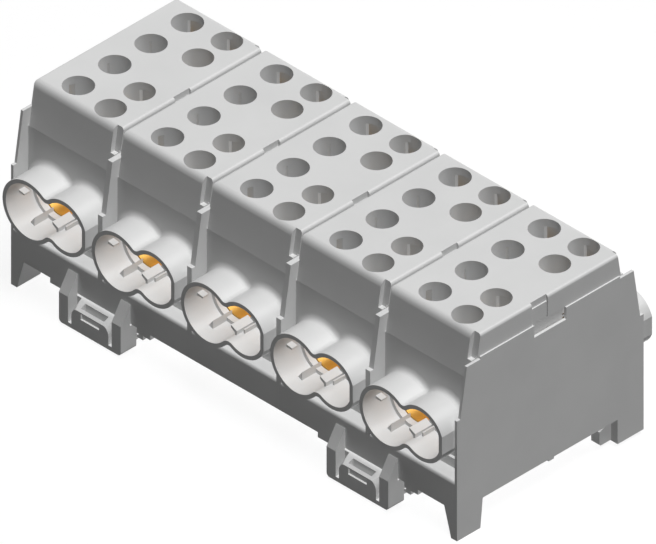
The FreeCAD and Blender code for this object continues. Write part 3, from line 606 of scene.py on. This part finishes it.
@dataclass(frozen=True)
class RailLatches:
    """The rail latches, whose sprung tongues have a gentle slope and a deep lever slot.

    Attributes:
        case: Where the tongue meets the case, counted from the middle of the row.
        front_height: The height of the tongue's top at its front.
        case_height: The height of its top at the case.
        half_width: Half of its width.
        slot_middle: Where the middle of the slot lies, counted as case is.
        slot_width: From the slot's front to its back.
        slot_half: Half of the slot's length along the row.
        slot_floor: The height of the slot's floor.
        clear: How far the cutters stand out of the tongue.
    """

    case: float = -28.55 * MM
    front_height: float = 6.15 * MM
    case_height: float = 7.3 * MM
    half_width: float = 6.2 * MM
    slot_middle: float = -29.9 * MM
    slot_width: float = 1.4 * MM
    slot_half: float = 3.45 * MM
    slot_floor: float = 3.2 * MM
    clear: float = 1.0 * MM

    def build(self, nodes: Nodes, plastic: bpy.types.Material) -> None:
        """Dress the latches and cut their tongues.

        Args:
            nodes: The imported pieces.
            plastic: The finish of the latches.
        """
        for side in ("left", "right"):
            name = f"rail_latch_{side}"
            paint(nodes, name, plastic)
            finish_form(nodes[name], name, name, self.cutters(name))

    def cutters(self, name: str) -> list[bpy.types.Object]:
        """Make what is taken off a tongue.

        Args:
            name: The latch's node.

        Returns:
            The cutters for the slope and for the slot.
        """
        low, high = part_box(name)
        centre = middle(low, high).x
        rise = (self.case_height - self.front_height) / (self.case - low.y)
        start, up = low.y - self.clear, self.case_height + 2 * self.clear
        slope = [
            (start, self.front_height - rise * self.clear),
            (self.case, self.case_height),
            (self.case, up),
            (start, up),
        ]
        near = self.slot_middle - self.slot_width / 2
        far = self.slot_middle + self.slot_width / 2
        slot = [(near, self.slot_floor), (far, self.slot_floor), (far, up), (near, up)]
        return [
            prism("tongue_slope", slope, centre - self.half_width, centre + self.half_width),
            prism("tongue_slot", slot, centre - self.slot_half, centre + self.slot_half),
        ]


@dataclass(frozen=True)
class ClampScrews:
    """A row of clamp screws, with coned tips, helical threads and slotted heads.

    Attributes:
        row: The row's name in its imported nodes.
        drive: How the heads are slotted.
        pitch: How far the thread rises in one turn.
        slot_width: The width of a slot.
        slot_depth: The depth of a slot.
        through_reach: How far the first slot reaches to each side, in screw radii.
        cross_reach: How far the slot across it reaches to each side, in screw radii.
        thread_depth: From the thread's crest to its root.
        thread_sunk: How deep the ridge's foot lies in the core, in thread depths.
        thread_foot: Half of the foot's width, in pitches.
        thread_end: How much of the foot's width is left at the ridge's two ends.
        tip: The height of the tip's cone at the crest, and how far it narrows.
        thread_start: Where the ridge starts, in heights of the cone.
        bevel: The bevel round the top of the head.
        clear: How far a slot's cutter stands over the head.
        sides: How many sides the round has.
    """

    row: str
    drive: Drive
    pitch: float
    slot_width: float
    slot_depth: float = 1.9 * MM
    through_reach: float = 1.2
    cross_reach: float = 0.7
    thread_depth: float = 0.35 * MM
    thread_sunk: float = 0.4
    thread_foot: float = 0.42
    thread_end: float = 0.05
    tip: float = 1.2 * MM
    thread_start: float = 0.7
    bevel: float = 0.4 * MM
    clear: float = 1.0 * MM
    sides: int = 48

    def build(self, steel: bpy.types.Material) -> None:
        """Put a screw in the place of each packed screw of this row.

        Args:
            steel: The finish of the screws.
        """
        low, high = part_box(f"{self.row}_screw_1_1")
        mesh = self.screw_mesh((high.x - low.x) / 2, high.z - low.z)
        mesh.materials.clear()
        mesh.materials.append(steel)
        for pole in POLES:
            for number in SCREWS:
                node = f"{self.row}_screw_{pole}_{number}"
                low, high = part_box(node)
                piece = link_object(f"threaded_{node}", mesh)
                piece.location = (*middle(low, high).xy, low.z)
                take_in(piece, node, node)

    def screw_mesh(self, radius: float, height: float) -> bpy.types.Mesh:
        """Build the screw's mesh, with its tip at the origin.

        Args:
            radius: The thread's outer radius.
            height: From the tip to the top of the head.

        Returns:
            The finished mesh.
        """
        core = to_mesh(f"{self.row}_screw_core", self.core(radius, height))
        body = link_object(core.name, core)
        for cutter in self.slot_cutters(radius, height):
            body = subtract(body, cutter)
        form = bmesh.new()
        form.from_mesh(body.data)
        bpy.data.objects.remove(body)
        self.add_thread(form, radius, height)
        mesh = to_mesh(f"{self.row}_screw", form)
        shade(mesh, Smooth.BUILT)
        return mesh

    def core(self, radius: float, height: float) -> bmesh.types.BMesh:
        """Turn the core of the screw: tip cone, thread root, collar and bevelled head.

        Args:
            radius: The thread's outer radius.
            height: From the tip to the top of the head.

        Returns:
            The closed form.
        """
        root = radius - self.thread_depth
        neck = self.neck(height)
        profile = [
            (radius - self.tip, 0.0),
            (root, self.tip - self.thread_depth),
            (root, neck),
            (radius, neck + self.thread_depth),
            (radius, height - self.bevel),
            (radius - self.bevel, height),
        ]
        form = bmesh.new()
        rings = [ring(form, size, z, self.sides) for size, z in profile]
        for lower, upper in zip(rings, rings[1:]):
            join_rings(form, lower, upper)
        form.faces.new(reversed(rings[0]))
        form.faces.new(rings[-1])
        return form

    def neck(self, height: float) -> float:
        """Return the height at which the thread's root ends under the collar."""
        return height - self.slot_depth - 2 * self.thread_depth

    def slot_cutters(self, radius: float, height: float) -> list[bpy.types.Object]:
        """Make what is taken out of the head, one cutter for each slot.

        Args:
            radius: The thread's outer radius.
            height: From the tip to the top of the head.

        Returns:
            The cutter along the row and, for a cross, the one across it.
        """
        low, high = height - self.slot_depth, height + self.clear
        half = self.slot_width / 2
        through, crossing = radius * self.through_reach, radius * self.cross_reach
        sizes = ((through, half), (half, crossing))
        cutters = []
        for along, across in sizes[: self.drive.value]:
            section = [(-across, low), (across, low), (across, high), (-across, high)]
            cutters.append(prism("slot_cutter", section, -along, along))
        return cutters

    def add_thread(self, form: bmesh.types.BMesh, radius: float, height: float) -> None:
        """Wind the thread's ridge round the core, running out over half a turn at both ends.

        Args:
            form: The screw's form, which gets the ridge.
            radius: The thread's outer radius.
            height: From the tip to the top of the head.
        """
        buried = radius - self.thread_depth * (1 + self.thread_sunk)
        start = self.tip * self.thread_start
        end = self.neck(height) - self.pitch / 2
        steps = int((end - start) / self.pitch * self.sides)
        fade = self.sides // 2
        before = None
        for step in range(steps + 1):
            share = min(1.0, step / fade, (steps - step) / fade)
            angle = FULL_TURN * step / self.sides
            z = start + self.pitch * step / self.sides
            crest = buried + (radius - buried) * share
            half = self.pitch * self.thread_foot * max(share, self.thread_end)
            section = [(buried, z - half), (crest, z), (buried, z + half)]
            now = [
                form.verts.new((size * math.cos(angle), size * math.sin(angle), up))
                for size, up in section
            ]
            if before:
                join_rings(form, before, now)
            else:
                form.faces.new(now)
            before = now
        form.faces.new(reversed(before))


@dataclass(frozen=True)
class Lamp:
    """A far lamp.

    Attributes:
        name: Its name.
        source: The direction that it shines from.
        power: How strong it is.
        width: How wide it looks, in degrees.
        shades: Whether it casts shadows.
    """

    name: str
    source: Direction
    power: float
    width: float
    shades: bool

    def hang(self) -> None:
        """Hang the lamp over the table."""
        light = bpy.data.lights.new(self.name, "SUN")
        light.energy = self.power
        light.angle = math.radians(self.width)
        light.use_shadow = self.shades
        aim(link_object(self.name, light), Vector(self.source))


@dataclass(frozen=True)
class Studio:
    """The table, the world and the lamps.

    Attributes:
        table: The table's length and width.
        table_white: How pale the table is.
        table_lift: The light that it adds where it is looked at, so that it is white there.
        table_bounce: How pale the table is for the light that it throws on the block.
        fill: The strength of the world's light on the block.
        key: The main light, from above.
        shade: The lamp beside it that gives the block its faint shadow.
        gloss: The light that the funnels and the edges mirror to the camera.
        bounce: The soft light on the far sides.
    """

    table: float = 3.0
    table_white: float = 0.80
    table_lift: float = 0.138
    table_bounce: float = 0.05
    fill: float = 0.015
    key: Lamp = Lamp("key", (0.270, -0.095, 0.958), 1.68, 20.0, shades=False)
    shade: Lamp = Lamp("shade", (0.30, -0.05, 0.95), 0.62, 35.0, shades=True)
    gloss: Lamp = Lamp("gloss", (0.32, 0.58, 0.75), 1.50, 25.0, shades=False)
    bounce: Lamp = Lamp("bounce", (-0.62, 0.50, -0.60), 0.85, 40.0, shades=False)

    def build(self) -> None:
        """Set up the table, the world and the lamps."""
        scene = bpy.context.scene
        scene.view_settings.view_transform = "Standard"
        self.lay_table()
        scene.world = self.make_world()
        for lamp in (self.key, self.shade, self.gloss, self.bounce):
            lamp.hang()

    def lay_table(self) -> None:
        """Lay the pale table under the feet."""
        form = bmesh.new()
        bmesh.ops.create_grid(form, x_segments=1, y_segments=1, size=self.table / 2)
        table = link_object("table", to_mesh("table", form))
        tree = ShaderTree("pale_table")
        nodes = tree.tree.nodes
        lit = tree.add("ShaderNodeBsdfDiffuse", Color=grey(self.table_white))
        glow = tree.add("ShaderNodeEmission", Strength=self.table_lift)
        bright = nodes.new("ShaderNodeAddShader")
        tree.fill(bright.inputs[0], lit.outputs[0])
        tree.fill(bright.inputs[1], glow.outputs[0])
        dull = tree.add("ShaderNodeBsdfDiffuse", Color=grey(self.table_bounce))
        both = nodes.new("ShaderNodeMixShader")
        tree.fill(both.inputs[0], seen_directly(tree.tree))
        tree.fill(both.inputs[1], dull.outputs[0])
        tree.fill(both.inputs[2], bright.outputs[0])
        nodes.remove(tree.shader)
        tree.fill(nodes["Material Output"].inputs["Surface"], both.outputs[0])
        table.data.materials.append(tree.material)

    def make_world(self) -> bpy.types.World:
        """Make a world with an even light that mirrors and the camera see as white.

        Returns:
            The new world.
        """
        world = bpy.data.worlds.new("studio")
        world.use_nodes = True
        tree = world.node_tree
        background = tree.nodes["Background"]
        background.inputs["Color"].default_value = grey(1.0)
        strength = tree.nodes.new("ShaderNodeMapRange")
        strength.inputs["To Min"].default_value = self.fill
        tree.links.new(seen_directly(tree), strength.inputs["Value"])
        tree.links.new(strength.outputs["Result"], background.inputs["Strength"])
        return world


@dataclass(frozen=True)
class Camera:
    """The parallel view of the photograph, equally steep to all three axes.

    Attributes:
        photo_width: The photograph's width in pixels.
        photo_height: Its height in pixels.
        corner_pixel: Where it shows the front foot's outer corner on the table.
        pixels_per_mm: How many pixels a millimetre along X, Y or Z takes.
        foot_front: Where the front of that foot lies along Y.
        distance: From the foot's corner to the camera's plane.
        clip_start: The nearest that the camera sees.
    """

    photo_width: float = 656.0
    photo_height: float = 544.0
    corner_pixel: tuple[float, float] = (457.0, 541.5)
    pixels_per_mm: float = 3.815
    foot_front: float = -28.25 * MM
    distance: float = 1.0
    clip_start: float = 0.01

    def build(self) -> None:
        """Make the camera, and aim it so that the foot's corner falls where the photo has it."""
        corner = Vector((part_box("housing_5")[1].x, self.foot_front, 0.0))
        back = Vector((1, -1, 1)).normalized()
        aside = Vector((1, 1, 0)).normalized()
        above = back.cross(aside)
        shortened = back.cross(Vector((0, 0, 1))).length
        drawn = self.pixels_per_mm / shortened / MM
        right = (self.photo_width / 2 - self.corner_pixel[0]) / drawn
        up = (self.corner_pixel[1] - self.photo_height / 2) / drawn
        lens = bpy.data.cameras.new("camera")
        lens.type = "ORTHO"
        lens.ortho_scale = self.photo_width / drawn
        lens.clip_start = self.clip_start
        holder = link_object("camera", lens)
        aim(holder, back)
        holder.location = corner + aside * right + above * up + back * self.distance
        bpy.context.scene.camera = holder


def grey(level: float) -> tuple[float, float, float, float]:
    """Return a plain grey as a node's colour."""
    return (level, level, level, 1)


def middle(low: Vector, high: Vector) -> Vector:
    """Return the middle of a box."""
    return (low + high) / 2


def aim(thing: bpy.types.Object, back: Vector) -> None:
    """Turn a lamp or a camera so that it looks away from a direction.

    Args:
        thing: The lamp or the camera.
        back: The direction that its back points to.
    """
    thing.rotation_mode = "QUATERNION"
    thing.rotation_quaternion = back.to_track_quat("Z", "Y")


def paint(nodes: Nodes, name: str, material: bpy.types.Material) -> None:
    """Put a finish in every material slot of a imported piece.

    Args:
        nodes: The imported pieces.
        name: The piece's node.
        material: Its finish.
    """
    for slot in nodes[name].material_slots:
        slot.material = material
    LOG.info("dressed %s", name)


def link_object(name: str, data: bpy.types.ID) -> bpy.types.Object:
    """Put a mesh, a lamp or a camera into the scene.

    Args:
        name: The object's name.
        data: What it holds.

    Returns:
        The new object.
    """
    thing = bpy.data.objects.new(name, data)
    bpy.context.collection.objects.link(thing)
    return thing


def take_in(piece: bpy.types.Object, body: str, node: str | None = None) -> None:
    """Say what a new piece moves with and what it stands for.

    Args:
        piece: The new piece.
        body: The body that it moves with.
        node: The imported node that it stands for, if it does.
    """
    if node is not None:
        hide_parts(node)
    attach(piece, body)
    LOG.info("built %s", piece.name)


def finish_form(
    packed: bpy.types.Object, node: str, body: str, cutters: list[bpy.types.Object]
) -> None:
    """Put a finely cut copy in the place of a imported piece.

    Args:
        packed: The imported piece, which stays as it is.
        node: Its node.
        body: The body that it moves with.
        cutters: What is cut off the copy.
    """
    piece = link_object(f"finished_{node}", packed.data.copy())
    piece.matrix_world = packed.matrix_world.copy()
    join_seams(piece.data)
    for cutter in cutters:
        piece = subtract(piece, cutter)
    join_seams(piece.data)
    shade(piece.data, Smooth.CUT)
    even = piece.modifiers.new("even", "WEIGHTED_NORMAL")
    even.keep_sharp = True
    apply_steps(piece)
    take_in(piece, body, node)


def subtract(body: bpy.types.Object, cutter: bpy.types.Object) -> bpy.types.Object:
    """Cut one object out of another.

    Args:
        body: What is cut.
        cutter: What cuts it. It is removed.

    Returns:
        The cut object, which is the first one.
    """
    step = body.modifiers.new("cut", "BOOLEAN")
    step.operation = "DIFFERENCE"
    step.solver = "EXACT"
    step.object = cutter
    apply_steps(body)
    bpy.data.objects.remove(cutter)
    return body


def apply_steps(piece: bpy.types.Object) -> None:
    """Turn an object's modifiers into its own mesh.

    Args:
        piece: The object.
    """
    seen = piece.evaluated_get(bpy.context.evaluated_depsgraph_get())
    mesh = bpy.data.meshes.new_from_object(seen)
    piece.modifiers.clear()
    piece.data = mesh


def join_seams(mesh: bpy.types.Mesh) -> None:
    """Join the points that share a place, and let go of the normals that were set by hand.

    Args:
        mesh: The mesh to mend.
    """
    form = bmesh.new()
    form.from_mesh(mesh)
    bmesh.ops.remove_doubles(form, verts=form.verts, dist=SAME_PLACE)
    form.to_mesh(mesh)
    form.free()
    by_hand = mesh.attributes.get("custom_normal")
    if by_hand:
        mesh.attributes.remove(by_hand)


def shade(mesh: bpy.types.Mesh, limit: Smooth) -> None:
    """Shade a mesh smoothly, apart from its sharp edges.

    Args:
        mesh: The mesh.
        limit: The angle from which an edge is sharp.
    """
    mesh.shade_smooth()
    mesh.set_sharp_from_angle(angle=math.radians(limit.value))


def to_mesh(name: str, form: bmesh.types.BMesh) -> bpy.types.Mesh:
    """Turn a form into a mesh and let the form go.

    Args:
        name: The mesh's name.
        form: The form.

    Returns:
        The new mesh.
    """
    mesh = bpy.data.meshes.new(name)
    form.to_mesh(mesh)
    form.free()
    return mesh


def ring(form: bmesh.types.BMesh, radius: float, z: float, sides: int) -> list:
    """Add a level ring of points to a form.

    Args:
        form: The form.
        radius: The ring's radius.
        z: Its height.
        sides: How many points it has.

    Returns:
        The new points.
    """
    angles = [FULL_TURN * index / sides for index in range(sides)]
    return [form.verts.new((radius * math.cos(a), radius * math.sin(a), z)) for a in angles]


def join_rings(form: bmesh.types.BMesh, lower: list, upper: list) -> None:
    """Join two closed rings of as many points with faces that look outwards.

    Args:
        form: The form that holds the rings.
        lower: The points of the first ring.
        upper: The points of the second ring.
    """
    count = len(lower)
    for index in range(count):
        after = (index + 1) % count
        form.faces.new((lower[index], lower[after], upper[after], upper[index]))


def prism(name: str, section: list[Place], start: float, end: float) -> bpy.types.Object:
    """Make a prism along the row.

    Args:
        name: The object's name.
        section: Its outline, as places along Y and Z.
        start: Where it starts along X.
        end: Where it ends along X.

    Returns:
        The closed prism.
    """
    form = bmesh.new()
    first = [form.verts.new((start, y, z)) for y, z in section]
    last = [form.verts.new((end, y, z)) for y, z in section]
    join_rings(form, first, last)
    form.faces.new(first)
    form.faces.new(last)
    bmesh.ops.recalc_face_normals(form, faces=form.faces)
    return link_object(name, to_mesh(name, form))


def seen_directly(tree: bpy.types.NodeTree) -> Socket:
    """Tell what the camera, mirrors and glass look at from what only throws light.

    Args:
        tree: The node tree that needs to know.

    Returns:
        An output that is 1 for what is looked at, and else 0.
    """
    light = tree.nodes.new("ShaderNodeLightPath").outputs
    either = light["Is Camera Ray"]
    for other in ("Is Glossy Ray", "Is Transmission Ray"):
        larger = tree.nodes.new("ShaderNodeMath")
        larger.operation = "MAXIMUM"
        tree.links.new(either, larger.inputs[0])
        tree.links.new(light[other], larger.inputs[1])
        either = larger.outputs[0]
    return either


def main() -> None:
    """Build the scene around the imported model."""
    logging.basicConfig(level=logging.INFO, format="%(name)s: %(message)s")
    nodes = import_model()["nodes"]
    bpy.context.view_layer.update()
    plastic = MouldedPlastic().make()
    Cases().build(nodes, plastic)
    Caps().build(nodes, plastic)
    ClampBlocks().build(nodes, CopperAlloy().make())
    RailLatches().build(nodes, plastic)
    steel = PlatedSteel().make()
    ClampScrews("main", Drive.SLOT, pitch=1.25 * MM, slot_width=1.6 * MM).build(steel)
    ClampScrews("branch", Drive.CROSS, pitch=1.0 * MM, slot_width=1.2 * MM).build(steel)
    Studio().build()
    Camera().build()
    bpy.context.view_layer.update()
    LOG.info("sizes kept")


if __name__ == "__main__":
    main()
